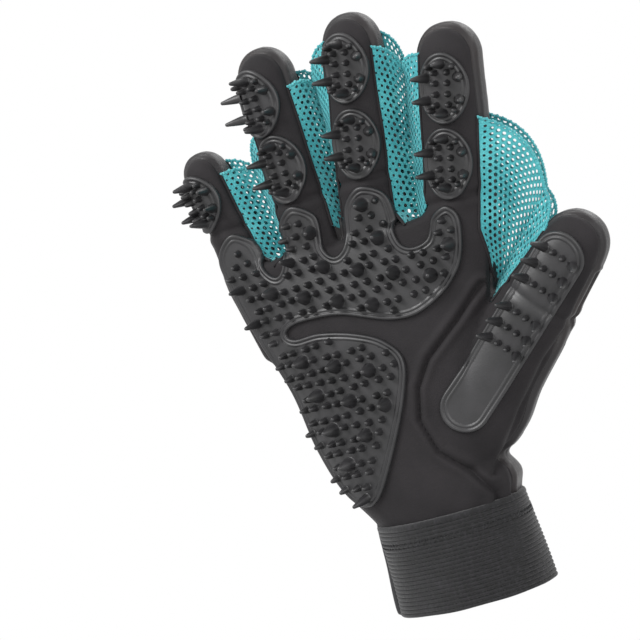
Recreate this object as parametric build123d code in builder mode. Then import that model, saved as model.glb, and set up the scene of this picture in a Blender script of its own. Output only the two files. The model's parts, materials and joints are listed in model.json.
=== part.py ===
from build123d import *
import math
import os

# Right-hand pet grooming glove, in millimetres.
# +Z runs from the wrist opening to the fingertips, the palm faces -Y, the thumb is on +X.
# The origin is the centre of the wrist opening, at the hem of the cuff.

# Driving dimensions
WALL = 2.0  # neoprene-like fabric
PAD = 1.8  # rubber pads stand this far off the fabric
MESH = 1.0  # doubled mesh of the webs
GAP = 0.4  # clearance between two pieces that move
GROOVE = 3.0  # width of the flexing groove across the thumb pad
WEB_SLACK = 1.2  # how far above a flexing line the moving half of a web starts
WEB_GAP = 1.8  # clearance along the fold between the halves of a web
PALM_FOOT = 37.0  # where the cuff ends and the palm begins
CUFF_HALF = (35.0, 24.4)
CUFF_WALL = 2.4
BINDING = (4.0, 1.0)  # height and thickness of the tape over the cuff's seam
DOME = (0.0, 24.0, 45.0, 63.0, 78.0)  # angles of the sections that round off a fingertip
REACH = 90.0  # longer than any cutter has to be

# Palm sections: height, centre, half width and half depth
PALM = (
    (PALM_FOOT, 0.0, 33.5, 23.0),
    (56.0, -3.8, 37.6, 22.5),
    (78.0, -3.8, 44.4, 21.5),
    (102.0, -3.8, 47.9, 19.6),
    (128.0, -7.1, 53.7, 16.8),
    (148.0, -6.6, 60.2, 13.6),
    (157.0, -6.0, 62.0, 12.0),
)

# Fingers: foot and tip as (x, z), half width and half depth at foot and tip, flexing height
FINGERS = {
    "index": dict(foot=(41.0, 140.0), tip=(61.8, 228.5), wide=(15.0, 13.2), deep=(12.0, 10.0), flex=160.0),
    "middle": dict(foot=(4.4, 146.0), tip=(21.9, 244.0), wide=(13.4, 12.4), deep=(12.0, 10.0), flex=178.0),
    "ring": dict(foot=(-20.3, 146.0), tip=(-21.5, 241.5), wide=(12.8, 12.2), deep=(12.0, 10.0), flex=177.0),
    "little": dict(foot=(-51.5, 140.0), tip=(-63.5, 209.0), wide=(12.4, 10.4), deep=(10.5, 8.5), flex=173.5),
}
THUMB = dict(foot=(15.3, 66.0), tip=(97.5, 138.5), wide=(21.5, 12.8), deep=(17.0, 10.5), flex=69.0)

# Pads on the fingers: centre height, roll round the finger away from the thumb, and size
PADS = {
    "index": dict(tip=(202.8, 0, 1.0), middle=(174.0, 2, 1.0)),
    "middle": dict(tip=(222.2, 6, 1.0), middle=(192.3, 0, 1.0)),
    "ring": dict(tip=(219.6, 24, 1.0), middle=(191.3, 8, 1.0)),
    "little": dict(tip=(187.9, 30, 0.86)),
}
PAD_OVAL = (9.6, 13.7)  # half width and half length
SPIKE = (2.1, 0.8, 8.6)  # the long cones of a pad: foot radius, tip radius, length
NUB = (1.15, 0.7, 3.8)  # the short ones between them
LONG_ONES = ((0, 9.8), (6.4, 4.4), (6.4, -4.6), (0, -9.9), (-6.4, -4.6), (-6.4, 4.4))  # on a finger pad
SHORT_ONES = ((2.3, 2.2), (2.4, 6.4), (4.4, 8.6))  # in one quarter of a finger pad
DOT = (2.8, 1.0, 7.4)  # the large ones of the palm
NUB_PITCH = (5.8, 5.0)  # columns and rows on the palm, where each seventh place has a large one
ULNAR_BAND = 11.0  # along this edge the palm has long cones
THUMB_PAD = dict(start=8.0, end=100.0, width=20.0, side=-0.8)
THUMB_ROWS = (47.5, 55.0, 62.5, 75.5, 83.0, 90.5)

# Palm pad: lobes under the fingers, a band over the knuckles, and a heel part
PALM_PAD = (
    (-54, 171), (-46.5, 166), (-43, 154), (-37.5, 149), (-33, 154), (-31.5, 168), (-22.5, 175),
    (-14, 169), (-14, 156), (-9, 150.5), (-3, 155), (1, 169), (9.6, 175), (18, 169),
    (18.5, 152), (23, 146), (31, 147), (36, 155), (44, 157.5), (47, 150), (41, 133),
    (25, 121.5), (10, 120), (-12, 127.5), (-27, 129), (-36, 128.4), (-40, 125.5),
    (-36, 122.6), (-24, 122.5), (-9, 119), (3, 113), (9.3, 103), (4, 86), (-9, 63), (-19, 51), (-28, 50),
    (-36, 58), (-42.5, 76), (-46.5, 101), (-55, 127), (-61, 150), (-62, 163),
)

# Webs: foot of the fold, notch at its end, and the height up to which each finger carries it
WEBS = {
    ("ring", "little"): dict(fold=((-38.0, 154.0), (-43.3, 192.0)), up=(207.0, 190.0)),
    ("middle", "ring"): dict(fold=((-7.1, 163.0), (-5.5, 207.0)), up=(224.0, 222.0)),
    ("index", "middle"): dict(fold=((24.2, 158.0), (33.5, 199.0)), up=(208.0, 225.0)),
}
THUMB_WEB = dict(fold=((43.3, 115.5), (59.0, 132.0), (79.4, 153.0)), index_up=189.0, thumb_up=94.0)

# Wrist strap: a rubber tab with a rounded end that folds over the back of the cuff
STRAP_START = -32.0
STRAP_END = 10.0
STRAP_ROUND = 15.0
STRAP_HEIGHT = (0.5, 36.5)
LOOP_THICK = 1.0
HOOK_THICK = 0.8
STRAP_THICK = 2.0
EMBLEM_AT = (-13.0, 84.0)
EMBLEM_THICK = 0.7
TOES = ((-12.5, 6.0, 15), (-4.8, 13.5, 5), (4.8, 13.5, -5), (12.5, 6.0, -15))


def finger_axis(finger):
    """Foot point, unit direction and length of a finger, in the XZ plane."""
    (x0, z0), (x1, z1) = finger["foot"], finger["tip"]
    length = math.hypot(x1 - x0, z1 - z0)
    return Vector(x0, 0, z0), Vector((x1 - x0) / length, 0, (z1 - z0) / length), length


def finger_half(finger, s):
    """Half width and half depth of a finger at the distance s along it."""
    length = finger_axis(finger)[2]
    share = s / length
    wide = finger["wide"][0] + (finger["wide"][1] - finger["wide"][0]) * share
    deep = finger["deep"][0] + (finger["deep"][1] - finger["deep"][0]) * share
    return wide, deep


def section_plane(finger, s):
    foot, along, _ = finger_axis(finger)
    return Plane(origin=foot + along * s, x_dir=(along.Z, 0, -along.X), z_dir=along)


def finger_form(finger, grow=0.0):
    """A finger as one solid with a rounded tip."""
    length = finger_axis(finger)[2]
    nose = finger_half(finger, length)[0]
    with BuildPart() as form:
        for s in (0.0, 0.5 * (length - nose)):
            wide, deep = finger_half(finger, s)
            with BuildSketch(section_plane(finger, s)):
                Ellipse(wide + grow, deep + grow)
        for angle in DOME:
            turn = math.radians(angle)
            wide, deep = finger_half(finger, length - nose)
            reach = length - nose + (nose + grow) * math.sin(turn)
            with BuildSketch(section_plane(finger, reach)):
                Ellipse((wide + grow) * math.cos(turn), (deep + grow) * math.cos(turn))
        loft(ruled=True)
    return form.part


def palm_form(grow=0.0):
    with BuildPart() as form:
        for z, x, wide, deep in PALM:
            with BuildSketch(Plane.XY.offset(z).move(Location((x, 0, 0)))):
                Ellipse(wide + grow, deep + grow)
        loft(ruled=True)
    return form.part


def flex_plane(name):
    """The plane across a finger that its flexing joint lies in."""
    if name == "thumb":
        foot, along, _ = finger_axis(THUMB)
        return Plane(origin=foot + along * THUMB["flex"], z_dir=along)
    return Plane.XY.offset(FINGERS[name]["flex"])


def outer_of(name, grow=0.0):
    """The moving part of a finger, above its flexing plane."""
    finger = THUMB if name == "thumb" else FINGERS[name]
    with BuildPart() as upper:
        add(finger_form(finger, grow))
        split(bisect_by=flex_plane(name).offset(GAP / 2), keep=Keep.TOP)
    return upper.part


def foot_of(name, grow=0.0):
    """The part of a finger below its flexing plane, which belongs to the hand."""
    finger = THUMB if name == "thumb" else FINGERS[name]
    with BuildPart() as lower:
        add(finger_form(finger, grow))
        split(bisect_by=flex_plane(name).offset(-GAP / 2), keep=Keep.BOTTOM)
    return lower.part


def hand_form(grow=0.0):
    """The palm with the feet of the fingers and of the thumb."""
    with BuildPart() as form:
        add(palm_form(grow))
        for name in (*FINGERS, "thumb"):
            add(foot_of(name, grow))
    return form.part


def halves(outer, inner):
    """Front and back panel of a hollow form, split at its side seams."""
    panels = []
    for keep in (Keep.BOTTOM, Keep.TOP):
        with BuildPart() as panel:
            add(outer)
            add(inner, mode=Mode.SUBTRACT)
            split(bisect_by=Plane((0, 0, 0), x_dir=(1, 0, 0), z_dir=(0, 1, 0)), keep=keep)
        panels.append(panel.part)
    return panels


def write(part, name):
    part.label = name
    export_step(part, "parts/" + name + ".step")


def skin_location(half, u, lift, roll=0.0):
    """Height and normal across an elliptic section at the offset u from its rolled middle line."""
    wide, deep = half
    turn = math.radians(roll)
    ahead, aside = -math.cos(turn), -math.sin(turn)
    start = (-u * ahead / wide, u * aside / deep)
    way = (aside / wide, ahead / deep)
    a = way[0] ** 2 + way[1] ** 2
    b = start[0] * way[0] + start[1] * way[1]
    c = start[0] ** 2 + start[1] ** 2 - 1
    reach = (-b + math.sqrt(max(0.02 * a, b * b - a * c))) / a
    offset, y = -u * ahead + aside * reach, u * aside + ahead * reach
    across, out = offset / wide**2, y / deep**2
    size = math.hypot(across, out)
    return y + lift * out / size, offset + lift * across / size, across / size, out / size


def finger_spot(finger, s, u, roll=0.0, lift=PAD - 0.6):
    """Where a cone stands on the palm side of a finger."""
    foot, along, _ = finger_axis(finger)
    side = Vector(along.Z, 0, -along.X)
    y, offset, across, out = skin_location(finger_half(finger, s), u, lift, roll)
    origin = foot + along * s + side * offset + Vector(0, y, 0)
    return Plane(origin=origin, x_dir=along, z_dir=side * across + Vector(0, out, 0))


def palm_section(z):
    for low, high in zip(PALM, PALM[1:]):
        if z <= high[0]:
            share = (z - low[0]) / (high[0] - low[0])
            return [a + (b - a) * share for a, b in zip(low, high)]
    return PALM[-1]


def palm_spot(x, z):
    """Where a cone stands on the palm, or on the foot of a finger if that is further out."""
    _, centre, wide, deep = palm_section(z)
    best = None
    if z <= PALM[-1][0] and abs(x - centre) < wide:
        y, offset, across, out = skin_location((wide, deep), x - centre, PAD - 0.6)
        best = Plane((centre + offset, y, z), x_dir=(0, 0, 1), z_dir=(across, out, 0))
    for finger in FINGERS.values():
        foot, along, _ = finger_axis(finger)
        step = Vector(x, 0, z) - foot
        s, u = step.dot(along), step.X * along.Z - step.Z * along.X
        if s > 0 and abs(u) < finger_half(finger, s)[0] * 0.9:
            spot = finger_spot(finger, s, u)
            if best is None or spot.origin.Y < best.origin.Y:
                best = spot
    return best


def inside(outline, x, z):
    """True where the point lies in the closed outline."""
    hit = False
    for (x0, z0), (x1, z1) in zip(outline, outline[1:] + outline[:1]):
        if (z0 > z) != (z1 > z) and x < x0 + (z - z0) * (x1 - x0) / (z1 - z0):
            hit = not hit
    return hit


def clear_inside(outline, x, z, margin):
    turns = [math.radians(45 * step) for step in range(8)]
    return all(inside(outline, x + margin * math.cos(t), z + margin * math.sin(t)) for t in turns)


def with_cones(pad, cones, form):
    """The pad with its cones: pairs of a cone's size and the places it stands at, on a form."""
    with BuildPart() as whole:
        add(pad)
        for (foot, tip, length), spots in cones:
            if spots:
                with Locations(*spots):
                    Cone(foot, tip, length, align=(Align.CENTER, Align.CENTER, Align.MIN))
        add(form, mode=Mode.SUBTRACT)
    return whole.part


def finger_pad(name, height, roll, size):
    """An oval rubber pad with six long cones round its edge and short ones between them."""
    finger = FINGERS[name]
    foot, along, _ = finger_axis(finger)
    side = Vector(along.Z, 0, -along.X)
    s = (height - foot.Z) / along.Z
    turn = math.radians(roll)
    out = Vector(0, -math.cos(turn), 0) - side * math.sin(turn)
    with BuildPart() as pad:
        with BuildSketch(Plane(origin=foot + along * s + out * 0.5, x_dir=along, z_dir=out)):
            Ellipse(PAD_OVAL[1] * size, PAD_OVAL[0] * size)
        extrude(amount=REACH)
        add(outer_of(name, PAD), mode=Mode.INTERSECT)
        add(outer_of(name), mode=Mode.SUBTRACT)
    spikes = [finger_spot(finger, s + v * size, u * size, roll) for u, v in LONG_ONES]
    quarters = [(u * side, v * end) for u, v in SHORT_ONES for side in (-1, 1) for end in (-1, 1)]
    nubs = [finger_spot(finger, s + v * size, u * size, roll) for u, v in quarters]
    return with_cones(pad.part, ((SPIKE, spikes), (NUB, nubs)), outer_of(name))


def thumb_pad_slab(form, lower):
    """The long pad of the thumb, on one side of the flexing plane."""
    foot, along, _ = finger_axis(THUMB)
    side = Vector(along.Z, 0, -along.X)
    length = THUMB_PAD["end"] - THUMB_PAD["start"]
    centre = foot + along * (THUMB_PAD["start"] + length / 2) + side * THUMB_PAD["side"]
    tilt = math.degrees(math.atan2(along.Z, along.X))
    gap = -GROOVE / 2 if lower else GROOVE / 2
    with BuildPart() as slab:
        with BuildSketch(Plane.XZ.offset(0.5)):
            with Locations(Location((centre.X, centre.Z), tilt)):
                SlotOverall(length, THUMB_PAD["width"])
        extrude(amount=REACH)
        add(finger_form(THUMB, PAD), mode=Mode.INTERSECT)
        add(form, mode=Mode.SUBTRACT)
        split(bisect_by=flex_plane("thumb").offset(gap), keep=Keep.BOTTOM if lower else Keep.TOP)
    return slab.part


def thumb_spots(lower):
    """Places of the long and the short cones on one side of the flexing plane."""
    rows = [s for s in THUMB_ROWS if (s < THUMB["flex"]) == lower]
    side = THUMB_PAD["side"]
    spikes = [finger_spot(THUMB, s, side + u) for s in rows for u in (-6.4, 6.4)]
    nubs = [finger_spot(THUMB, s + 0.6, side + u) for s in rows for u in (-2.0, 2.0)]
    return spikes, nubs


def fin(points):
    """A thin flat piece of mesh in the XZ plane."""
    with BuildPart() as piece:
        with BuildSketch(Plane.XZ.offset(-MESH / 2)):
            with BuildLine():
                Polyline(*points, close=True)
            make_face()
        extrude(amount=MESH)
    return piece.part


def beyond(plane, side):
    """Everything on one side of a plane: 1 for the side it faces, -1 for the other."""
    with BuildPart() as slab:
        with BuildSketch(plane.offset(WEB_SLACK if side > 0 else -GAP / 2)):
            Rectangle(4 * REACH, 4 * REACH)
        extrude(amount=side * 2 * REACH)
    return slab.part


def web_parts(name, points):
    """A web's moving part, which a finger carries, and its root on the hand."""
    parts = []
    for side in (1, -1):
        with BuildPart() as piece:
            add(fin(points))
            add(hand_outer, mode=Mode.SUBTRACT)
            add(outer_of(name), mode=Mode.SUBTRACT)
            add(beyond(flex_plane(name), side), mode=Mode.INTERSECT)
        parts.append(piece.part)
    return parts


def axis_point(finger, height):
    foot, along, _ = finger_axis(finger)
    s = (height - foot.Z) / along.Z
    return foot.X + along.X * s, height


def web_side(name, fold, up, away):
    """The half of a web that one finger carries: its moving part and its root on the hand."""
    finger = FINGERS[name]
    line = [(x + away * WEB_GAP / 2, z) for x, z in fold]
    points = [*line, axis_point(finger, up), axis_point(finger, fold[0][1])]
    return web_parts(name, points)


def cuff_ring(inner, outer, low, high):
    """An elliptic ring round the cuff, between two distances from its outer face."""
    wide, deep = CUFF_HALF
    with BuildPart() as ring:
        with BuildSketch(Plane.XY.offset(low)):
            Ellipse(wide + outer, deep + outer)
            Ellipse(wide + inner, deep + inner, mode=Mode.SUBTRACT)
        extrude(amount=high - low)
    return ring.part


def patch_cutter(start, end, low, high, radius):
    """A prism through the back of the cuff, with its far corners rounded."""
    with BuildPart() as cutter:
        with BuildSketch(Plane.XZ.offset(-1)) as outline:
            with Locations(((start + end) / 2, (low + high) / 2)):
                Rectangle(end - start, high - low)
            fillet(outline.vertices().group_by(Axis.X)[-1], radius)
        extrude(amount=-REACH)
    return cutter.part


def cuff_patch(inner, outer, start, end, low, high, radius):
    """A patch that follows the back of the cuff."""
    with BuildPart() as patch:
        add(cuff_ring(inner, outer, low, high))
        add(patch_cutter(start, end, low, high, radius), mode=Mode.INTERSECT)
    return patch.part


def paw():
    """A plain paw print, in the XZ plane."""
    x, z = EMBLEM_AT
    with BuildPart() as print_cutter:
        with BuildSketch(Plane.XZ.offset(-1)):
            with Locations((x, z - 5.5)):
                Ellipse(10.5, 8.0)
            for side, up, tilt in TOES:
                with Locations(Location((x + side, z + up), tilt)):
                    Ellipse(3.4, 4.9)
        extrude(amount=-REACH)
    return print_cutter.part


os.makedirs("parts", exist_ok=True)

# Fabric of the hand
hand_outer = hand_form()
with BuildPart() as raised_skin:
    add(hand_form(PAD))
    add(hand_outer, mode=Mode.SUBTRACT)
palm_front, palm_back = halves(hand_outer, hand_form(-WALL))
write(palm_front, "palm_front")
write(palm_back, "palm_back")

# Fabric of the fingers
for name in (*FINGERS, "thumb"):
    front, back = halves(outer_of(name), outer_of(name, -WALL))
    write(front, name + "_front")
    write(back, name + "_back")

# Finger pads
for name, places in PADS.items():
    for place, (height, roll, size) in places.items():
        write(finger_pad(name, height, roll, size), name + "_pad_" + place)

# Palm pad
with BuildPart() as palm_slab:
    with BuildSketch(Plane.XZ.offset(2)):
        with BuildLine():
            Spline(*PALM_PAD, periodic=True)
        make_face()
    extrude(amount=REACH)
    add(raised_skin.part, mode=Mode.INTERSECT)
spikes, dots, nubs = [], [], []
for row in range(25):
    for column in range(22):
        x = -64 + NUB_PITCH[0] * (column + 0.5 * (row % 2))
        z = 53 + NUB_PITCH[1] * row
        large = (column - row // 2 + 3 * row) % 7 == 0
        if clear_inside(PALM_PAD, x, z, 3.6 if large else 2.8):
            edge = not inside(PALM_PAD, x - ULNAR_BAND, z)
            kind = (spikes if edge and z < 160 else dots) if large else nubs
            kind.append(palm_spot(x, z))
write(with_cones(palm_slab.part, ((SPIKE, spikes), (DOT, dots), (NUB, nubs)), hand_outer), "palm_pad")

# Thumb pad, in two pieces that meet at the flexing groove
for lower, part_name in ((True, "thumb_pad_base"), (False, "thumb_pad_tip")):
    form = hand_outer if lower else outer_of("thumb")
    spikes, nubs = thumb_spots(lower)
    slab = thumb_pad_slab(form, lower)
    write(with_cones(slab, ((SPIKE, spikes), (NUB, nubs)), form), part_name)

# Webs between the fingers
roots = []
for (thumb_side, little_side), web in WEBS.items():
    moving, root = web_side(thumb_side, web["fold"], web["up"][0], 1)
    write(moving, thumb_side + "_web_little_side")
    roots.append(root)
    moving, root = web_side(little_side, web["fold"], web["up"][1], -1)
    write(moving, little_side + "_web_thumb_side")
    roots.append(root)

# Web between the index finger and the thumb: a fold with one side on each
fold = THUMB_WEB["fold"]
index_line = [(x - GAP / 2, z + GAP / 2) for x, z in fold]
index_points = [*index_line, axis_point(FINGERS["index"], THUMB_WEB["index_up"])]
index_points.append(axis_point(FINGERS["index"], fold[0][1]))
moving, root = web_parts("index", index_points)
write(moving, "index_web_thumb_side")
roots.append(root)

foot, along, _ = finger_axis(THUMB)
thumb_end = foot + along * THUMB_WEB["thumb_up"]
thumb_line = [(x + GAP / 2, z - GAP / 2) for x, z in fold]
thumb_points = [*thumb_line, (thumb_end.X, thumb_end.Z), (foot.X, foot.Z)]
moving, root = web_parts("thumb", thumb_points)
write(moving, "thumb_web_index_side")
roots.append(root)

with BuildPart() as web_root:
    for root in roots:
        add(root)
write(web_root.part, "web_root")

# Cuff
write(cuff_ring(-CUFF_WALL, 0, 0, PALM_FOOT), "cuff")
write(cuff_ring(0, BINDING[1], PALM_FOOT - BINDING[0], PALM_FOOT), "cuff_binding")

# Hook-and-loop closure and its strap, on the back of the cuff
low, high = STRAP_HEIGHT
hook = LOOP_THICK + GAP
tab = hook + HOOK_THICK
loop_top = PALM_FOOT - BINDING[0]
write(cuff_patch(0, LOOP_THICK, STRAP_START + 4, 24, 3, loop_top, 4), "loop_patch")
write(cuff_patch(hook, tab, STRAP_START + 5, STRAP_END - 4, 4, loop_top, 10), "hook_patch")
write(cuff_patch(tab, tab + STRAP_THICK, STRAP_START, STRAP_END, low, high, STRAP_ROUND), "strap_tab")
with BuildPart() as anchor:
    add(cuff_ring(BINDING[1], hook + STRAP_THICK, low, high))
    with Locations((-CUFF_HALF[0], -1, (low + high) / 2)):
        Box(20, 14, high, mode=Mode.INTERSECT)
write(anchor.part, "strap_anchor")

# Paw print on the back of the hand
with BuildPart() as emblem:
    add(paw())
    add(hand_form(EMBLEM_THICK), mode=Mode.INTERSECT)
    add(hand_outer, mode=Mode.SUBTRACT)
write(emblem.part, "back_emblem")
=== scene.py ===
"""Right-hand pet grooming glove, upright: +Z to the fingertips, palm to -Y, thumb on +X."""

import json
import math

import bmesh
import bpy
import numpy as np
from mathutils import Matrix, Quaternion, Vector, noise
from mathutils.bvhtree import BVHTree

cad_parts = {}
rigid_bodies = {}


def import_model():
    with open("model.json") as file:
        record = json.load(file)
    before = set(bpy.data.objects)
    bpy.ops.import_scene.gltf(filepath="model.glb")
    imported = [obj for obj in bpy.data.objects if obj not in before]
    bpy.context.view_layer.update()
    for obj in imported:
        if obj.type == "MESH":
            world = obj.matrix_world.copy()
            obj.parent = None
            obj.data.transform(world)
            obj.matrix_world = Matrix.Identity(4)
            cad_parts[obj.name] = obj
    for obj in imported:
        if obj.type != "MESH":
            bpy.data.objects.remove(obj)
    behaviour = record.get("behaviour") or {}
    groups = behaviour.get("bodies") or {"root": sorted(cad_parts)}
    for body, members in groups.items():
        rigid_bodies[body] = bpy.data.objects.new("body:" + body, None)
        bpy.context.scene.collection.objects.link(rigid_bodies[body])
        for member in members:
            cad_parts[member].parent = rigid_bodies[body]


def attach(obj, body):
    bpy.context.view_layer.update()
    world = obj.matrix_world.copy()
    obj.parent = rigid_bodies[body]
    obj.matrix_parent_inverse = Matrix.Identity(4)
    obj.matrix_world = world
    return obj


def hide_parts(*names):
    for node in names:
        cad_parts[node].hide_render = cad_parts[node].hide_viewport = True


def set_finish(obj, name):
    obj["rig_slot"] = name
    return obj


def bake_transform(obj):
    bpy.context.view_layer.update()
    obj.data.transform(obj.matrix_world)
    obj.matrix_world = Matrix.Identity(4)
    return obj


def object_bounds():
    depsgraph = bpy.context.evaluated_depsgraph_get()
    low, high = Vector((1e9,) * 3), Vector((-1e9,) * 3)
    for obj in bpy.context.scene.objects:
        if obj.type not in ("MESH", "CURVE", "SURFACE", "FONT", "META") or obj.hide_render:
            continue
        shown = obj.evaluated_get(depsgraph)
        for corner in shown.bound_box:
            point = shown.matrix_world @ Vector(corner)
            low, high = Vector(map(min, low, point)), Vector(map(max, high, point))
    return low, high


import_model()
CAD_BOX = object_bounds()
MM = 0.001  # the script's own lengths are millimetres

# ---------------- driving values
# Palm sections: height, centre, half width, half depth
PALM = (
    (30.0, 1.8, 29.6, 21.4),
    (40.0, 1.2, 31.6, 22.2),
    (56.0, -3.8, 37.4, 22.4),
    (78.0, -3.8, 44.0, 21.4),
    (102.0, -3.8, 47.6, 19.6),
    (128.0, -7.1, 53.4, 16.8),
    (146.0, -6.6, 59.6, 13.8),
    (156.0, -6.0, 61.6, 12.0),
)
FINGERS = {
    "index": dict(foot=(41.0, 140.0), tip=(62.0, 228.3), wide=(15.0, 13.2), deep=(12.2, 10.2), flex=160.0,
                  root=(33.0, 106.0, 10.5)),
    "middle": dict(foot=(4.4, 146.0), tip=(21.9, 244.0), wide=(13.4, 12.4), deep=(12.2, 10.2), flex=178.0,
                   root=(2.0, 132.0, 12.0)),
    "ring": dict(foot=(-20.3, 146.0), tip=(-21.5, 241.5), wide=(12.8, 12.2), deep=(12.2, 10.2), flex=177.0,
                 root=(-19.0, 132.0, 12.0)),
    "little": dict(foot=(-51.5, 140.0), tip=(-62.3, 207.8), wide=(12.4, 9.2), deep=(10.8, 8.8), flex=173.5,
                   root=(-47.0, 118.0, 11.5)),
}
THUMB = dict(foot=(15.3, 66.0), tip=(97.5, 138.5), wide=(21.5, 12.8), deep=(17.5, 10.8), flex=69.0,
             root=(9.0, 60.0, 18.0))
VOXEL = 1.25
FABRIC = 1.5  # thickness
SEAM_Y = -5.5  # the side seams lie a little to the palm side
FINGER_CUT = 151.0  # height where the finger panels start
THUMB_CUT = 56.0  # distance along the thumb where its panels start
FLEX_RUN = 6.5  # length each side of a flexing line that finger_bend and thumb_bend reach

# Folds of the webs, from the crotch to the notch: little-finger side first
FOLDS = {
    ("little", "ring"): ((-35.5, 149.0), (-40.6, 194.0)),
    ("ring", "middle"): ((-5.0, 158.0), (-3.0, 219.0)),
    ("middle", "index"): ((24.5, 152.0), (36.5, 214.0)),
}
THUMB_FOLD = ((43.3, 115.5), (59.0, 132.0), (79.4, 153.0))
THUMB_SEAM = ((47, 124), (34, 113), (19, 101), (12, 91), (9, 78), (13, 64), (23, 53), (28, 42), (28, 30))
THUMB_SIDE_SEAM = ((93, 115), (78, 100.4), (63.3, 88.2), (46.6, 71), (38, 61), (29, 49.2))
YOKE = ((-72, 148), (-44, 151), (-9, 156), (26, 154), (48, 148), (68, 140))

# Rubber pads, each drawn in the plane of the palm
PAD_OVAL = (9.9, 14.1)
PADS = {  # centre height of each pad, its roll round the finger away from the thumb, and its size
    "index": dict(tip=(202.8, 0, 1.0), middle=(174.0, 2, 1.0)),
    "middle": dict(tip=(222.2, 6, 1.0), middle=(192.3, 0, 1.0)),
    "ring": dict(tip=(219.6, 24, 1.0), middle=(191.3, 8, 1.0)),
    "little": dict(tip=(187.9, 30, 0.86)),
}
LONG_ONES = ((0, 9.8), (6.4, 4.4), (6.4, -4.6), (0, -9.9), (-6.4, -4.6), (-6.4, 4.4))  # on a finger pad
SHORT_ONES = ((2.3, 2.2), (2.4, 6.4), (4.4, 8.6))  # in one quarter of a finger pad
PALM_PAD = (
    (-54, 171), (-46.5, 166), (-43, 154), (-37.5, 149), (-33, 154), (-31.5, 168), (-22.5, 175),
    (-14, 169), (-14, 156), (-9, 150.5), (-3, 155), (1, 169), (9.6, 175), (18, 169),
    (18.5, 152), (23, 146), (31, 147), (36, 155), (44, 157.5), (47, 150), (41, 133),
    (25, 121.5), (10, 120), (-12, 127.5), (-27, 129), (-36, 128.4), (-40, 125.5),
    (-36, 122.6), (-24, 122.5), (-9, 119), (3, 113), (9.3, 103), (4, 86), (-9, 63), (-19, 51), (-28, 50),
    (-36, 58), (-42.5, 76), (-46.5, 101), (-55, 127), (-61, 150), (-62, 163),
)
THUMB_PAD = dict(start=8.0, end=100.0, width=20.0, side=-0.8)  # along the thumb, and across it
THUMB_ROWS = (47.5, 55.0, 62.5, 75.5, 83.0, 90.5)  # rows of cones along it
SPIKE = (1.95, 0.72, 9.6)  # long cones: foot radius, tip radius, length
NUB = (1.3, 0.8, 4.4)  # short ones between them
DOT = (2.85, 0.95, 8.0)  # large ones of the palm
STUD = (1.5, 0.8, 4.4)  # small ones of the palm
NUB_PITCH = (5.8, 5.0)  # columns and rows on the palm, where each seventh place has a large one
NUB_START = (-64, 53)
ULNAR_BAND, ULNAR_TOP = 11.0, 160  # width and top of the strip of long cones on the little-finger side
# Section of a pad's edge: inward distance and height off the fabric, a double line round the rim
RIM = (
    (-0.35, -0.9), (-0.2, 0.9), (0.15, 1.55), (0.65, 1.85), (1.15, 1.6), (1.45, 1.2),
    (1.8, 1.2), (2.1, 1.5), (2.5, 1.5), (2.85, 1.12), (4.6, 0.98),
)
PAD_FACE = 1.1  # height of a pad's field inside its rim
CONE_FOOT = 0.8  # height where the cones start, inside the field
PAD_STEP = 0.9  # length between the points of a pad's outline

# ---------------- mesh helpers
def put(name, data):
    """A new object in the scene that holds the data."""
    piece = bpy.data.objects.new(name, data)
    bpy.context.scene.collection.objects.link(piece)
    return piece


def put_mesh(name, work):
    """A new object from a bmesh, which is used up."""
    mesh = bpy.data.meshes.new(name)
    work.to_mesh(mesh)
    work.free()
    return put(name, mesh)


def shade(piece, angle):
    """Smooth shading, except at edges that turn by more than the angle in degrees."""
    piece.data.polygons.foreach_set("use_smooth", [True] * len(piece.data.polygons))
    piece.data.set_sharp_from_angle(angle=math.radians(angle))


def new_object(name, points, faces):
    """A smooth-shaded mesh object from points in millimetres."""
    mesh = bpy.data.meshes.new(name)
    mesh.from_pydata([tuple(p) for p in np.asarray(points, float) * MM], [], [tuple(f) for f in faces])
    mesh.validate()
    mesh.polygons.foreach_set("use_smooth", [True] * len(mesh.polygons))
    return put(name, mesh)


def vectors_of(items, key):
    """One vector of each item as an array."""
    flat = np.empty(len(items) * 3)
    items.foreach_get(key, flat)
    return flat.reshape(-1, 3)


def points_of(piece):
    """The points of a mesh object as an array in millimetres."""
    return vectors_of(piece.data.vertices, "co") / MM


def set_points(piece, points):
    piece.data.vertices.foreach_set("co", (np.asarray(points) * MM).ravel())
    piece.data.update()


def normals_of(piece):
    return vectors_of(piece.data.vertex_normals, "vector")


def apply_modifiers(piece):
    """Replace the object's mesh by its evaluated one."""
    graph = bpy.context.evaluated_depsgraph_get()
    mesh = bpy.data.meshes.new_from_object(piece.evaluated_get(graph))
    piece.modifiers.clear()
    old = piece.data
    piece.data = mesh
    mesh.name = old.name + "_final"
    bpy.data.meshes.remove(old)


def join(name, pieces):
    """One object from several, which are used up."""
    work = bmesh.new()
    for piece in pieces:
        work.from_mesh(piece.data)
        bpy.data.objects.remove(piece)
    return put_mesh(name, work)


def drop(piece):
    mesh = piece.data
    bpy.data.objects.remove(piece)
    bpy.data.meshes.remove(mesh)


def smooth_spans(rows, per_span):
    """Rows on a smooth curve through all the given rows but the first and the last."""
    out = []
    for a, b, c, d in zip(rows, rows[1:], rows[2:], rows[3:]):
        square, cube = 2 * a - 5 * b + 4 * c - d, 3 * b - a - 3 * c + d
        for t in np.linspace(0, 1, per_span, endpoint=False):
            out.append(0.5 * (2 * b + (c - a) * t + square * t**2 + cube * t**3))
    return out


def smooth_rows(rows, per_span):
    """Rows of numbers joined by a smooth curve through them."""
    rows = np.asarray(rows, float)
    ends = np.vstack([2 * rows[0] - rows[1], rows, 2 * rows[-1] - rows[-2]])
    return np.array([*smooth_spans(ends, per_span), rows[-1]])


def run_of(line):
    """How far along a polyline each of its points lies."""
    return np.concatenate([[0], np.cumsum(np.linalg.norm(np.diff(line, axis=0), axis=1))])


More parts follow.
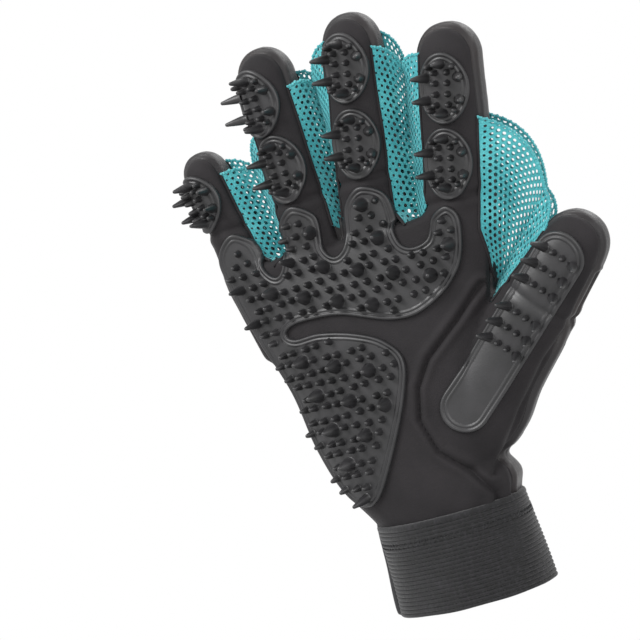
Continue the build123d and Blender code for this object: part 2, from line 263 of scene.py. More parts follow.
def at_marks(line, run, marks):
    """The polyline's points at the marks, given how far along it its own points lie."""
    return np.stack([np.interp(marks, run, line[:, k]) for k in range(line.shape[1])], axis=-1)


def circle(count):
    """Angles at an even step round a circle, in radians."""
    return np.linspace(0, 2 * math.pi, count, endpoint=False)


def loft(name, rings):
    """A closed skin over rings of equal length, with its ends capped."""
    count = len(rings[0])
    points = np.vstack(rings)
    faces = []
    for r in range(len(rings) - 1):
        for i in range(count):
            j = (i + 1) % count
            faces.append((r * count + i, r * count + j, (r + 1) * count + j, (r + 1) * count + i))
    faces.append(tuple(reversed(range(count))))
    faces.append(tuple(range(len(points) - count, len(points))))
    return new_object(name, points, faces)


def oval(centre, side, wide, deep, power=2.0, count=56):
    """A ring of points; deep lies along Y and a power above 2 makes it boxier."""
    turns = circle(count)
    c, s = np.cos(turns), np.sin(turns)
    across = np.sign(c) * np.abs(c) ** (2 / power) * wide
    out = np.sign(s) * np.abs(s) ** (2 / power) * deep
    return centre + np.outer(across, side) + np.outer(out, (0, 1, 0))


# ---------------- the glove's form
def axis_of(finger):
    """Foot, unit direction, sideways direction and length."""
    foot = np.array([finger["foot"][0], 0.0, finger["foot"][1]])
    tip = np.array([finger["tip"][0], 0.0, finger["tip"][1]])
    length = np.linalg.norm(tip - foot)
    along = (tip - foot) / length
    return foot, along, np.array([along[2], 0.0, -along[0]]), length


def half_of(finger, s):
    """Half width and half depth at a distance along a finger."""
    share = s / axis_of(finger)[3]
    wide = finger["wide"][0] + (finger["wide"][1] - finger["wide"][0]) * share
    deep = finger["deep"][0] + (finger["deep"][1] - finger["deep"][0]) * share
    return wide, deep


def finger_form(name, finger):
    """A finger stall: a tapering tube with a full rounded tip."""
    foot, along, side, length = axis_of(finger)
    nose = half_of(finger, length)[0] * 1.12
    rings = []
    for share in np.linspace(1, 0, 6, endpoint=False):
        low = foot + (np.array([finger["root"][0], 0, finger["root"][1]]) - foot) * share
        wide, deep = half_of(finger, 0)
        rings.append(oval(low, side, wide + (finger["root"][2] - wide) * share, deep, 2.15))
    for s in np.linspace(0, length - nose, 24):
        wide, deep = half_of(finger, s)
        swell = 1 + 0.02 * math.sin(s * 0.16 + len(name))
        rings.append(oval(foot + along * s, side, wide * swell, deep, 2.15))
    wide, deep = half_of(finger, length - nose)
    for turn in np.radians(np.linspace(8, 86, 11)):
        reach = foot + along * (length - nose + nose * math.sin(turn))
        size = math.cos(turn) ** 0.92
        rings.append(oval(reach, side, wide * size, deep * size, 2.15))
    return loft(name, rings)


def palm_form():
    """The hand's body, lofted through its sections."""
    rings = [oval(np.array([x, 0, z]), (1, 0, 0), w, d, 2.25) for z, x, w, d in smooth_rows(PALM, 6)]
    return loft("palm", rings)


def distance_to(points, line):
    """Distance in the XZ plane from each point to a polyline, and how far along it that is."""
    flat = points[:, (0, 2)]
    best = np.full(len(points), 1e9)
    run = np.zeros(len(points))
    start = 0.0
    for a, b in zip(np.asarray(line[:-1], float), np.asarray(line[1:], float)):
        step = b - a
        t = np.clip(((flat - a) @ step) / (step @ step), 0, 1)
        d = np.linalg.norm(flat - (a + t[:, None] * step), axis=1)
        near = d < best
        best[near] = d[near]
        run[near] = start + t[near] * np.linalg.norm(step)
        start += np.linalg.norm(step)
    return best, run


def bell(x, width):
    return np.exp(-((x / width) ** 2))


def ripple(points, size, seed):
    """Smooth noise from -1 to 1 at each point; size gives its scale along X, Y and Z."""
    scaled = points / np.asarray(size) + seed
    return np.array([noise.noise(Vector(p)) for p in scaled])


def glove_form():
    """The whole glove's outer skin as one smooth mesh; press_seams presses in its seams and folds."""
    parts = [palm_form(), *(finger_form(n, f) for n, f in FINGERS.items()), finger_form("thumb", THUMB)]
    form = join("form", parts)
    remesh = form.modifiers.new("remesh", "REMESH")
    remesh.mode = "VOXEL"
    remesh.voxel_size = VOXEL * MM
    soft = form.modifiers.new("soft", "SMOOTH")
    soft.factor, soft.iterations = 0.5, 10
    fine = form.modifiers.new("fine", "SUBSURF")
    fine.levels = 1
    apply_modifiers(form)
    return form


def press_seams(form):
    """Seams, folds and the fabric's unevenness, pressed along the surface's normals."""
    points, normals = points_of(form), normals_of(form)
    x, y, z = points.T
    lift = 0.45 * ripple(points, (26, 26, 34), 3.1)
    palm_side, back_side = y < SEAM_Y - 2, y > 3
    lift -= 0.75 * bell(y - SEAM_Y, 0.8) - 0.3 * bell(np.abs(y - SEAM_Y) - 2.2, 1.2)
    d, _ = distance_to(points, THUMB_SEAM)
    lift += palm_side * (0.9 * bell(d - 2.6, 1.7) - 1.5 * bell(d, 0.9))
    d, _ = distance_to(points, THUMB_SIDE_SEAM)
    lift += (y < 0) * (0.5 * bell(d - 2.2, 1.3) - 1.2 * bell(d, 0.8))
    heel = np.clip((x - 16) / 14, 0, 1)
    lift += heel * (2.4 * bell(z - 46, 5) - 1.3 * bell(z - 54, 2.6) + 1.0 * bell(z - 66, 7))
    d, _ = distance_to(points, YOKE)
    above = z > np.interp(x, [p[0] for p in YOKE], [p[1] for p in YOKE])
    lift += back_side * (np.where(above, 0.7, 0.15) * bell(d - 1.4, 2.6) - 1.0 * bell(d, 0.8))
    wrist = np.clip((66 - z) / 26, 0, 1) * (z > 36)
    lift += 0.9 * wrist * ripple(points, (9, 9, 30), 7.7)
    for finger in FINGERS.values():
        foot, _, side, _ = axis_of(finger)
        near = np.abs((points - foot) @ side) < 17
        crease = z - finger["flex"] + 0.02 * (x - foot[0])
        lift += near * (0.35 * bell(np.abs(crease) - 3.4, 2.0) - 0.75 * bell(crease, 1.5))
        joint = z - (finger["flex"] + 0.62 * (finger["tip"][1] - finger["flex"]))
        lift += near * back_side * (0.5 * bell(joint, 5.0) * ripple(points, (30, 30, 3.2), 1.3))
    foot, along, side, _ = axis_of(THUMB)
    run = (points - foot) @ along
    on_thumb = (np.abs((points - foot) @ side) < 20) & (run > 40)
    crease = run - THUMB["flex"]
    lift += on_thumb * (0.3 * bell(np.abs(crease) - 3.2, 2.0) - 0.6 * bell(crease, 1.5))
    set_points(form, points + normals * lift[:, None])


def cut(work, point, normal, clear=True):
    """Cut a bmesh by a plane and, with clear, drop what lies in front of it."""
    geometry = work.verts[:] + work.edges[:] + work.faces[:]
    place = Vector(point) * MM
    bmesh.ops.bisect_plane(work, geom=geometry, plane_co=place, plane_no=normal, clear_outer=clear)


def panel(form, name, planes, slot, nodes):
    """A fabric piece: the part of the form behind every plane, given a thickness."""
    work = bmesh.new()
    work.from_mesh(form.data)
    for point, normal in planes:
        cut(work, point, normal)
    return finish_panel(work, name, slot, nodes)


def thicken(piece, thickness, offset):
    """Give a surface its thickness: -1 puts it all behind the surface, 0 half on each side."""
    thick = piece.modifiers.new("thick", "SOLIDIFY")
    thick.thickness, thick.offset = thickness * MM, offset
    apply_modifiers(piece)


def finish_panel(work, name, slot, nodes):
    """The fabric piece that a cut bmesh makes."""
    piece = put_mesh(name, work)
    thicken(piece, FABRIC, -1.0)
    shade(piece, 58)
    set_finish(piece, slot)
    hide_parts(*nodes)
    return piece


def fold_plane(pair, outward):
    """The plane through a web's fold, facing the thumb side for 1 and the little side for -1."""
    (x0, z0), (x1, z1) = FOLDS[pair]
    normal = Vector((z1 - z0, 0, -(x1 - x0))).normalized()
    return (x0, 0, z0), normal * outward


def thumb_planes():
    """Planes that leave the thumb: past its cut, and on its side of the web's fold."""
    foot, along, _, _ = axis_of(THUMB)
    (x0, z0), _, (x1, z1) = THUMB_FOLD
    over = Vector((-(z1 - z0), 0, x1 - x0)).normalized()
    return [(foot + along * THUMB_CUT, -Vector(along)), ((x0, 0, z0), over)]


def hand_panel(form, side, name, slot, nodes):
    """The palm's panel on one side: everything below the fingers but the thumb."""
    work = bmesh.new()
    work.from_mesh(form.data)
    cut(work, (0, SEAM_Y, 0), Vector((0, -side, 0)))
    cut(work, (0, 0, FINGER_CUT), Vector((0, 0, 1)))
    for point, normal in thumb_planes():
        cut(work, point, normal, clear=False)
    thumb = [(Vector(point), normal) for point, normal in thumb_planes()]
    gone = []
    for face in work.faces:
        middle = face.calc_center_median() / MM
        if all((middle - point).dot(normal) < 0 for point, normal in thumb):
            gone.append(face)
    bmesh.ops.delete(work, geom=gone, context="FACES")
    return finish_panel(work, name, slot, nodes)


def finger_bend(name):
    """Two points at a finger's depth on the palm side, FLEX_RUN below and above its flexing line, in metres.
    """
    flex, deep = FINGERS[name]["flex"] * MM, FINGERS[name]["deep"][0] * MM
    return (0, -deep, flex - FLEX_RUN * MM), (0, -deep, flex + FLEX_RUN * MM)


def thumb_bend(reach):
    """The same for the thumb: points this far each side of its flexing line along the thumb."""
    foot, along, _, _ = axis_of(THUMB)
    return [tuple(Vector(foot + along * (THUMB["flex"] + step)) * MM) for step in (-reach, reach)]


def fabric_panels(form):
    """Front and back panels of the hand, the fingers and the thumb."""
    for side, word in ((-1, "front"), (1, "back")):
        half = ((0, SEAM_Y, 0), Vector((0, -side, 0)))
        slot = "fabric_" + word
        piece = hand_panel(form, side, "palm_" + word + "_fabric", slot, ["palm_" + word])
        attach(piece, "hand")
        for name in FINGERS:
            planes = [half, ((0, 0, FINGER_CUT), Vector((0, 0, -1)))]
            planes += [fold_plane(pair, 1) for pair in FOLDS if pair[0] == name]
            planes += [fold_plane(pair, -1) for pair in FOLDS if pair[1] == name]
            piece = panel(form, name + "_" + word + "_fabric", planes, slot, [name + "_" + word])
            start, end = finger_bend(name)
            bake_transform(piece)
            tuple(start)
            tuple(end)
        piece = panel(form, "thumb_" + word + "_fabric", [half, *thumb_planes()], slot, ["thumb_" + word])
        start, end = thumb_bend(FLEX_RUN)
        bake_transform(piece)
        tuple(start)
        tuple(end)


# ---------------- draping onto the form
FAR = 90.0  # start of a ray to the palm or the back, from the hand's middle plane
CLEAR = 32.0  # start of a ray to a finger pad, from the finger's axis
BESIDE = 4.0  # a line past the form's edge lies this far from the middle plane


class Skin:
    """The form's surface, to lay pads and prints on."""

    def __init__(self, form):
        self.points, self.normals = points_of(form), normals_of(form)
        self.faces = [tuple(face.vertices) for face in form.data.polygons]
        self.tree = BVHTree.FromPolygons([tuple(p) for p in self.points], self.faces)

    def hit(self, start, direction):
        """Point and smooth normal where a ray meets the surface, or None."""
        place, _, index, _ = self.tree.ray_cast(Vector(start), Vector(direction))
        if place is None:
            return None
        place = np.array(place)
        corners = list(self.faces[index])
        share = 1 / (np.linalg.norm(self.points[corners] - place, axis=1) + 0.05)
        normal = share @ self.normals[corners]
        return place, normal / np.linalg.norm(normal)

    def nearest(self, x, z, y):
        """Where the surface's side comes closest to a line that passes it by."""
        place, _, index, _ = self.tree.find_nearest(Vector((x, y, z)))
        corners = list(self.faces[index])
        return np.array(place), self.normals[corners].mean(axis=0)

    def palm(self, x, z):
        return self.hit((x, -FAR, z), (0, 1, 0)) or self.nearest(x, z, -BESIDE)

    def back(self, x, z):
        return self.hit((x, FAR, z), (0, -1, 0)) or self.nearest(x, z, BESIDE)


def closed_curve(points, step):
    """Points at an even step along a smooth closed curve, with inward directions."""
    rows = np.asarray(points, float)
    fine = smooth_spans(np.vstack([rows[-1], rows, rows[:2]]), 24)
    closed = np.array([*fine, fine[0]])
    run = run_of(closed)
    line = at_marks(closed, run, np.linspace(0, run[-1], int(run[-1] / step), endpoint=False))
    tangent = np.roll(line, -1, axis=0) - np.roll(line, 1, axis=0)
    tangent /= np.linalg.norm(tangent, axis=1)[:, None]
    inward = np.stack([-tangent[:, 1], tangent[:, 0]], axis=1)
    area = np.sum(line[:, 0] * np.roll(line[:, 1], -1) - np.roll(line[:, 0], -1) * line[:, 1])
    return line, inward * np.sign(area)


def inside(line, x, z):
    """True where the point lies in the closed line."""
    x0, z0 = line.T
    x1, z1 = np.roll(line, -1, axis=0).T
    crossing = (z0 > z) != (z1 > z)
    with np.errstate(divide="ignore", invalid="ignore"):
        at = x0 + (z - z0) * (x1 - x0) / (z1 - z0)
    return np.count_nonzero(crossing & (x < at)) % 2 == 1


def clear_inside(line, x, z, margin):
    """True where the point lies in the closed line and further from it than the margin."""
    return inside(line, x, z) and np.min(np.hypot(line[:, 0] - x, line[:, 1] - z)) > margin


class Build:
    """Collects points and faces of one piece."""

    def __init__(self):
        self.points, self.faces = [], []

    def grid(self, rows, closed=True):
        """Quads between rows of points."""
        start, count = len(self.points), len(rows[0])
        for row in rows:
            self.points.extend(row)
        last = count if closed else count - 1
        for r in range(len(rows) - 1):
            for i in range(last):
                a, b = start + r * count + i, start + r * count + (i + 1) % count
                self.faces.append((a, b, b + count, a + count))

    def cap(self, row):
        start = len(self.points)
        self.points.extend(row)
        self.faces.append(tuple(range(start, start + len(row))))


def rim(build, line, inward, drape, section):
    """The moulded edge of a pad, following a closed line."""
    rows = []
    for depth, height in section:
        row = []
        for place, step in zip(line, inward):
            spot = drape(*(place + step * depth))
            row.append(spot[0] + spot[1] * height)
        rows.append(row)
    build.grid(rows)


def field(build, line, drape, height, step, margin):
    """The pad's face: a grid laid on the fabric inside the line."""
    (x0, z0), (x1, z1) = line.min(axis=0), line.max(axis=0)
    xs, zs = np.arange(x0, x1 + step, step), np.arange(z0, z1 + step, step)
    index = {}
    start = len(build.points)
    for i, x in enumerate(xs):
        for j, z in enumerate(zs):
            if clear_inside(line, x, z, margin):
                spot = drape(x, z)
                if spot is not None:
                    index[i, j] = start + len(index)
                    build.points.append(spot[0] + spot[1] * height)
    for i, j in list(index):
        corners = [(i, j), (i + 1, j), (i + 1, j + 1), (i, j + 1)]
        if all(corner in index for corner in corners):
            build.faces.append(tuple(index[corner] for corner in corners))


def slab(build, outline, step, drape, section, face, grid, margin=2.0):
    """An edge along a closed outline and a face of the given height inside it; returns its line."""
    line, inward = closed_curve(outline, step)
    rim(build, line, inward, drape, section)
    field(build, line, drape, face, grid, margin)
    return line, inward


def cone(build, spot, size, count=14):
    """A moulded cone with a flared foot and a round tip, standing on a spot."""
    foot, tip, length = size
    place, normal = spot
    side = np.cross(normal, (0.0, 0.3, 1.0))
    side /= np.linalg.norm(side)
    other = np.cross(normal, side)
    section = [
        (foot * 1.35, 0.0), (foot * 1.12, 0.25), (foot, 0.7), (foot * 0.9 + tip * 0.1, length * 0.3),
        (foot * 0.5 + tip * 0.5, length * 0.62), (tip * 1.05, length - tip * 0.8),
        (tip * 0.8, length - tip * 0.3), (tip * 0.4, length - 0.03), (0.05, length),
    ]
    turns = circle(count)
    ring = np.outer(np.cos(turns), side) + np.outer(np.sin(turns), other)
    rows = [list(place + normal * (CONE_FOOT + up) + ring * radius) for radius, up in section]
    build.grid(rows)


def weld(piece, distance):
    """Join points that lie together, in millimetres, and drop faces that vanish."""
    work = bmesh.new()
    work.from_mesh(piece.data)
    bmesh.ops.remove_doubles(work, verts=work.verts, dist=distance * MM)
    bmesh.ops.dissolve_degenerate(work, edges=work.edges, dist=distance * MM)
    work.to_mesh(piece.data)
    work.free()


def make(build, name, slot, body, nodes):
    """Finish a built piece, in a slot, on a body, in place of its CAD nodes."""
    piece = new_object(name, build.points, build.faces)
    work = bmesh.new()
    work.from_mesh(piece.data)
    bmesh.ops.remove_doubles(work, verts=work.verts, dist=0.001 * MM)
    bmesh.ops.recalc_face_normals(work, faces=work.faces)
    work.to_mesh(piece.data)
    work.free()
    shade(piece, 62)
    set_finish(piece, slot)
    if nodes:
        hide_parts(*nodes)
    if body:
        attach(piece, body)
    return piece


def pad_drape(skin, finger, s, roll):
    """A drape for a pad's own coordinates, seen along a direction rolled round the finger."""
    foot, along, side, _ = axis_of(finger)
    turn = math.radians(roll)
    palmward = np.array((0.0, -1.0, 0.0))
    out = palmward * math.cos(turn) - side * math.sin(turn)
    across = side * math.cos(turn) + palmward * math.sin(turn)

    def drape(u, v):
        spot = foot + along * (s + v) + across * u
        return skin.hit(spot + out * CLEAR, -out) or skin.nearest(spot[0], spot[2], -BESIDE)
    return drape


def finger_pads(skin):
    """The oval pads of the fingers, two on each but the little finger."""
    turns = circle(40)
    for name, places in PADS.items():
        foot, along, _, _ = axis_of(FINGERS[name])
        for place, (height, roll, size) in places.items():
            wide, long = PAD_OVAL[0] * size, PAD_OVAL[1] * size
            outline = [(wide * math.cos(t), long * math.sin(t)) for t in turns]
            drape = pad_drape(skin, FINGERS[name], (height - foot[2]) / along[2], roll)
            build = Build()
            slab(build, outline, PAD_STEP, drape, RIM, PAD_FACE, 1.0)
            for u, v in LONG_ONES:
                cone(build, drape(u * size, v * size), SPIKE)
            for u, v in SHORT_ONES:
                for across, up in ((-u, v), (-u, -v), (u, v), (u, -v)):
                    cone(build, drape(across * size, up * size), NUB, count=10)
            node = name + "_pad_" + place
            make(build, node + "_rubber", "rubber_pad", name, [node])


def palm_pad(skin):
    """The palm's pad: a lattice of studs with large cones, spikes along the little-finger side."""
    build = Build()
    line, _ = slab(build, PALM_PAD, PAD_STEP, skin.palm, RIM, PAD_FACE, 1.1)
    for row in range(25):
        for column in range(22):
            x = NUB_START[0] + NUB_PITCH[0] * (column + 0.5 * (row % 2))
            z = NUB_START[1] + NUB_PITCH[1] * row
            large = (column - row // 2 + 3 * row) % 7 == 0
            if clear_inside(line, x, z, 3.6 if large else 2.8):
                edge = not inside(line, x - ULNAR_BAND, z)
                if large:
                    cone(build, skin.palm(x, z), SPIKE if edge and z < ULNAR_TOP else DOT)
                else:
                    x += 0.5 * math.sin(7.1 * row + 3.3 * column)
                    z += 0.5 * math.sin(2.9 * row + 5.7 * column)
                    cone(build, skin.palm(x, z), STUD, count=10)
    make(build, "palm_pad_rubber", "rubber_pad", "hand", ["palm_pad"])


def thumb_pad(skin):
    """The thumb's long pad."""
    foot, along, side, _ = axis_of(THUMB)
    start, end, radius = THUMB_PAD["start"], THUMB_PAD["end"], THUMB_PAD["width"] / 2

    def at(u, s):
        spot = foot + along * s + side * (THUMB_PAD["side"] + u)
        return spot[0], spot[2]

    flanks = np.linspace(start + radius, end - radius, 18)
    tip = np.radians(np.arange(15, 166, 15))
    outline = [at(radius * math.cos(t), end - radius + radius * math.sin(t)) for t in tip]
    outline += [at(-radius, s) for s in flanks[::-1]]
    outline += [at(-radius * math.cos(t), start + radius - radius * math.sin(t)) for t in tip]
    outline += [at(radius, s) for s in flanks]
    build = Build()
    slab(build, outline, PAD_STEP, skin.palm, RIM, PAD_FACE, 1.1)
    for s in THUMB_ROWS:
        for u in (-6.4, 6.4):
            cone(build, skin.palm(*at(u, s)), SPIKE)
        for u in (-2.0, 2.0):
            cone(build, skin.palm(*at(u, s + 0.6)), NUB, count=10)
    piece = make(build, "thumb_pad_rubber", "rubber_pad", None, ["thumb_pad_base", "thumb_pad_tip"])
    start, end = thumb_bend(4.0)
    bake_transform(piece)


# ---------------- webs
MESH_PITCH = 2.7
MESH_HOLE = 0.86  # radius
MESH_THICK = 0.42
SHEET_SHARE = (0.34, 0.95)  # least and most that a web's mesh fills of its flat rectangle
WEBS = (
    # finger, side of it, crotch height, height the mesh reaches, fold, CAD node, bulge of the free edge
    ("little", 1, 154.0, 195.0, ("little", "ring"), "little_web_thumb_side", (0, 0, 1.5)),
    ("ring", -1, 154.0, 207.0, ("little", "ring"), "ring_web_little_side", (-1, 0, 2.5)),
    ("ring", 1, 163.0, 222.0, ("ring", "middle"), "ring_web_thumb_side", (1.5, 0, 2.5)),
    ("middle", -1, 163.0, 233.0, ("ring", "middle"), "middle_web_little_side", (-2.5, 0, 3)),
    ("middle", 1, 158.0, 229.0, ("middle", "index"), "middle_web_thumb_side", (2, 0, 2.5)),
    ("index", -1, 158.0, 216.0, ("middle", "index"), "index_web_little_side", (-2, 0, 2.5)),
)
# Front and back layer: how its edge leans, its fold's place along Y, and how much higher it reaches
# on the thumb side of a finger
WEB_LAYERS = ((-0.52, -1.3, 0.0), (0.5, 1.6, 5.0))
THUMB_WEB_LAYERS = ((-0.42, -1.0), (0.45, 1.4))


def follower(points):
    """A function that gives the point at a share of the way along a polyline."""
    line = np.array(points, float)
    run = run_of(line)
    return lambda share: at_marks(line, run, share * run[-1])


def web_layer(build, edge, fold, bulge):
    """One perforated layer between a finger's side and the fold, both given as functions of 0 to 1."""
    def place(a, b):
        swell = 4 * b * (1 - b) * a**3
        return edge(a) * (1 - b) + fold(a) * b + np.asarray(bulge) * swell

    stations = np.linspace(0, 1, 50)
    spots = np.array([[place(a, b) for b in np.linspace(0, 1, 9)] for a in stations])
    widths = np.sum(np.linalg.norm(np.diff(spots, axis=1), axis=2), axis=1)
    runs = run_of(spots[:, 4])
    known = {}

    def lay(across, up):
        """A point of the flat cloth, measured from the fold and from the crotch, on the curved web."""
        a, wide = np.interp(up, runs, stations), np.interp(up, runs, widths)
        return place(a, 1 - min(1.0, max(0.0, across / max(wide, 0.01))))

    def corner(across, up):
        key = (round(across, 2), round(up, 2))
        if key not in known:
            known[key] = len(build.points)
            build.points.append(lay(across, up))
        return known[key]

    radius = MESH_PITCH / math.sqrt(3)
    row_step = 1.5 * radius
    turns = np.radians(30 + 30 * np.arange(12))
    reach = [radius, radius * math.cos(math.radians(30))] * 6
    for row in range(int(runs[-1] / row_step) + 1):
        up = row_step * row
        wide = np.interp(up, runs, widths)
        for column in range(-1, int(wide / MESH_PITCH) + 3):
            across = MESH_PITCH * (column + 0.5 * (row % 2))
            if not -radius < across < wide + radius:
                continue
            hole = MESH_HOLE * min(1.0, 0.45 + max(0.0, wide - across) / 11)
            start = len(build.points)
            build.points.extend(lay(across + hole * math.cos(t), up + hole * math.sin(t)) for t in turns)
            ring = []
            for t, far in zip(turns, reach):
                ring.append(corner(across + far * math.cos(t), up + far * math.sin(t)))
            for k in range(12):
                j = (k + 1) % 12
                build.faces.append((ring[k], ring[j], start + j, start + k))
    return place


def cord_along(build, points, radius, count=8):
    """A round stitch cord through points, closed at its ends."""
    points = np.asarray(points)
    tangent = np.gradient(points, axis=0)
    rows = []
    turns = circle(count)
    for i, (place, way) in enumerate(zip(points, tangent)):
        way = way / (np.linalg.norm(way) + 1e-9)
        side = np.cross(way, (0.12, 1.0, 0.07))
        side /= np.linalg.norm(side)
        other = np.cross(way, side)
        size = radius[i] if hasattr(radius, "__len__") else radius
        rows.append(list(place + (np.outer(np.cos(turns), side) + np.outer(np.sin(turns), other)) * size))
    build.grid(rows)
    build.cap(rows[0][::-1])
    build.cap(rows[-1])


def web_piece(name, slot_nodes, edges, folds, bulge, start, end):
    """A web's half: a front and a back layer, the overlocked free edge and the seam on the finger."""
    sheet = Build()
    tops = []
    for edge, fold in zip(edges, folds):
        place = web_layer(sheet, edge, fold, bulge)
        tops.append(np.array([place(1.0, b) for b in np.linspace(0, 1, 40)]))
    piece = new_object(name, sheet.points, sheet.faces)
    weld(piece, 0.02)
    thicken(piece, MESH_THICK, 0.0)
    binding = Build()
    for top in tops:
        run = run_of(top)
        marks = np.linspace(0, run[-1], max(12, int(run[-1] / 0.3)))
        line = at_marks(top, run, marks)
        line[:, 2] += 0.25 * np.sin(marks * 2.1)
        cord_along(binding, line, 0.62 + 0.2 * np.sin(marks * 5.2))
    hem = new_object(name + "_hem", binding.points, binding.faces)
    weld(hem, 0.001)
    whole = join(name, [piece, hem])
    shade(whole, 50)
    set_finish(whole, "mesh")
    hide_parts(*slot_nodes)
    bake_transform(whole)
    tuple(start)
    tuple(end)
    tape = Build()
    for edge in edges:
        cord_along(tape, [edge(a) for a in np.linspace(0, 1.0, 90)], 0.62)
    seam = make(tape, name + "_seam", "fabric_front", None, ())
    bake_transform(seam)
    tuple(start)
    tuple(end)
    area = sum(face.area for face in whole.data.polygons) / 2
    across = 2 * np.linalg.norm(edges[-1](1) - folds[-1](1)) * MM
    up = np.linalg.norm(edges[-1](1) - edges[-1](0)) * MM
    up = min(max(up, area / (SHEET_SHARE[1] * across)), area / (SHEET_SHARE[0] * across))


def edge_spot(skin, start, direction):
    """Where a ray from inside leaves the skin, a little above it."""
    place, normal = skin.hit(start, direction)
    return place + normal * 0.25


def side_line(skin, finger, side, low, high, toward):
    """A line up one side of a finger, on its skin, leaning to the front or the back by toward."""
    foot, along, across, _ = axis_of(finger)
    way = across * side * 0.86 + np.array((0, toward, 0))
    starts = [foot + along * ((height - foot[2]) / along[2]) for height in np.linspace(low, high, 14)]
    return follower([edge_spot(skin, start, way) for start in starts])


def webs(skin):
    """The two halves of each web: one on each finger, meeting at the fold."""
    for finger, side, low, high, pair, node, bulge in WEBS:
        (x0, z0), (x1, z1) = FOLDS[pair]
        edges, folds = [], []
        for toward, shift, extra in WEB_LAYERS:
            edges.append(side_line(skin, FINGERS[finger], side, low, high + extra * (side > 0), toward))
            folds.append(follower([(x0, 1.5 + shift, z0), (x1, 5.0 + shift, z1)]))
        start, end = finger_bend(finger)
        web_piece(node + "_mesh", [node], edges, folds, bulge, start, end)
    thumb_webs(skin)


def thumb_webs(skin):
    """The wide web between index finger and thumb, in its two halves."""
    foot, along, across, _ = axis_of(THUMB)
    index_edges, thumb_edges, folds = [], [], []
    for toward, shift in THUMB_WEB_LAYERS:
        marks = [(44.5, 6.0 * toward, 116.5)]
        for height in np.linspace(124, 188, 16):
            start = (26 + max(0, height - 128) * 0.42, 0, height)
            marks.append(edge_spot(skin, start, (0.9, toward * min(1, max(0.15, (height - 116) / 30)), 0)))
        index_edges.append(follower(marks))
        way = -across * 0.9 + np.array((0, toward, 0))
        starts = [foot + along * s for s in np.linspace(58, 94, 12)]
        thumb_edges.append(follower([edge_spot(skin, start, way) for start in starts]))
        folds.append(follower([(x, 2.5 * i + shift, z) for i, (x, z) in enumerate(THUMB_FOLD)]))
    start, end = finger_bend("index")
    web_piece("index_web_thumb_side_mesh", ["index_web_thumb_side", "web_root"], index_edges, folds,
              (6.5, 0, 3.5), start, end)
    start, end = thumb_bend(FLEX_RUN)
    web_piece("thumb_web_index_side_mesh", ["thumb_web_index_side"], thumb_edges, folds,
              (2.5, 0, 0.5), start, end)


# ---------------- cuff and strap
CUFF_HALF = (34.0, 24.4)
CUFF_SHIFT = 1.8
CUFF_TOP = 38.0
CUFF_WALL = 2.2
RIBS = 22
RIB_DEPTH = 0.85
ZIGZAGS = 78
ZIGZAG_AT = (30.6, 1.25, 0.62)  # height of the zigzag seam, half its swing, and how far out it lies
BINDING = ((36.3, 0.2), (36.5, 0.7), (37.2, 0.95), (38.2, 0.85), (38.7, 0.3), (38.8, -1.5))  # height, out
STRAP_OFF, HOOK_OFF, PILE_OFF = 2.4, 1.6, 0.5  # how far out the tab, the hook tape and the pile start
STRAP_EDGE = (
    (0.6, -0.1), (0.0, 0.3), (0.0, 1.5), (0.35, 2.15), (0.95, 2.3), (1.5, 2.1), (1.8, 1.75), (4.2, 1.7),
)
HOOKS = ((16, 4), (16, 34), (39, 34), (45, 28), (45, 10), (39, 4))
PILE = ((10, 3), (10, 33.5), (40, 33.5), (69, 33.5), (72, 30), (72, 7), (69, 3), (40, 3))
PAW_AT = (-13.0, 84.0)
PAW = (  # heel and toes: place, half width, half height, tilt
    (0, -5.5, 10.5, 8.0, 0),
    (-12.5, 6, 3.4, 4.9, 15),
    (-4.8, 13.5, 3.4, 4.9, 5),
    (4.8, 13.5, 3.4, 4.9, -5),
    (12.5, 6, 3.4, 4.9, -15),
)


def cuff_spot(turn, z, off=0.0):
    """Point and outward direction on the cuff; turn 0 is the thumb side, 90 degrees the back."""
    wide, deep = CUFF_HALF[0] - 2.2 * z / CUFF_TOP, CUFF_HALF[1]
    c, s = math.cos(turn), math.sin(turn)
    out = np.array([c / wide, s / deep, 0])
    out /= np.linalg.norm(out)
    off += 0.35 * math.sin(3 * turn + 0.06 * z) + 0.25 * math.sin(7 * turn - 0.1 * z)
    return np.array([CUFF_SHIFT + wide * c, deep * s, z]) + out * off, out


def cuff():
    """The ribbed elastic, its zigzag seam and the tape bound round its top."""
    build = Build()
    turns = circle(200)
    rows = []
    steps = RIBS * 6
    for i in range(steps + 1):
        z = CUFF_TOP * i / steps
        rib = abs(math.sin(math.pi * RIBS * i / steps)) ** 0.6 * RIB_DEPTH
        inset = 0.5 * (i in (0, steps))
        rows.append([cuff_spot(t, z + 0.072 * math.sin(9 * t + i), rib - inset)[0] for t in turns])
    for z in np.linspace(CUFF_TOP, 0, 8):
        rows.append([cuff_spot(t, z, -CUFF_WALL)[0] for t in turns])
    rows.append(rows[0])
    build.grid(rows)
    make(build, "cuff_elastic", "cuff_elastic", "hand", ["cuff"])
    seam = Build()
    height, swing, off = ZIGZAG_AT
    stops = 6 * ZIGZAGS
    line = []
    for i in range(stops + 1):
        z = height + swing * (abs((i / 3) % 2 - 1) * 2 - 1)
        line.append(cuff_spot(2 * math.pi * i / stops, z, off)[0])
    cord_along(seam, line, 0.26, 6)
    seam.grid([[cuff_spot(t, z, off)[0] for t in turns] for z, off in BINDING])
    make(seam, "cuff_binding_tape", "cuff_elastic", "hand", ["cuff_binding"])


def arc_table():
    """Lengths along the cuff, and the turns round it there, from the little-finger side over the back."""
    turns = np.linspace(math.pi, 0, 400)
    return run_of(np.array([cuff_spot(t, 20, 3.0)[0] for t in turns])), turns


RUN, TURNS = arc_table()


def on_strap(off):
    """A drape for outlines drawn along the cuff: first the length from the anchor, then the height."""
    return lambda run, z: cuff_spot(float(np.interp(run, RUN, TURNS)), z, off)


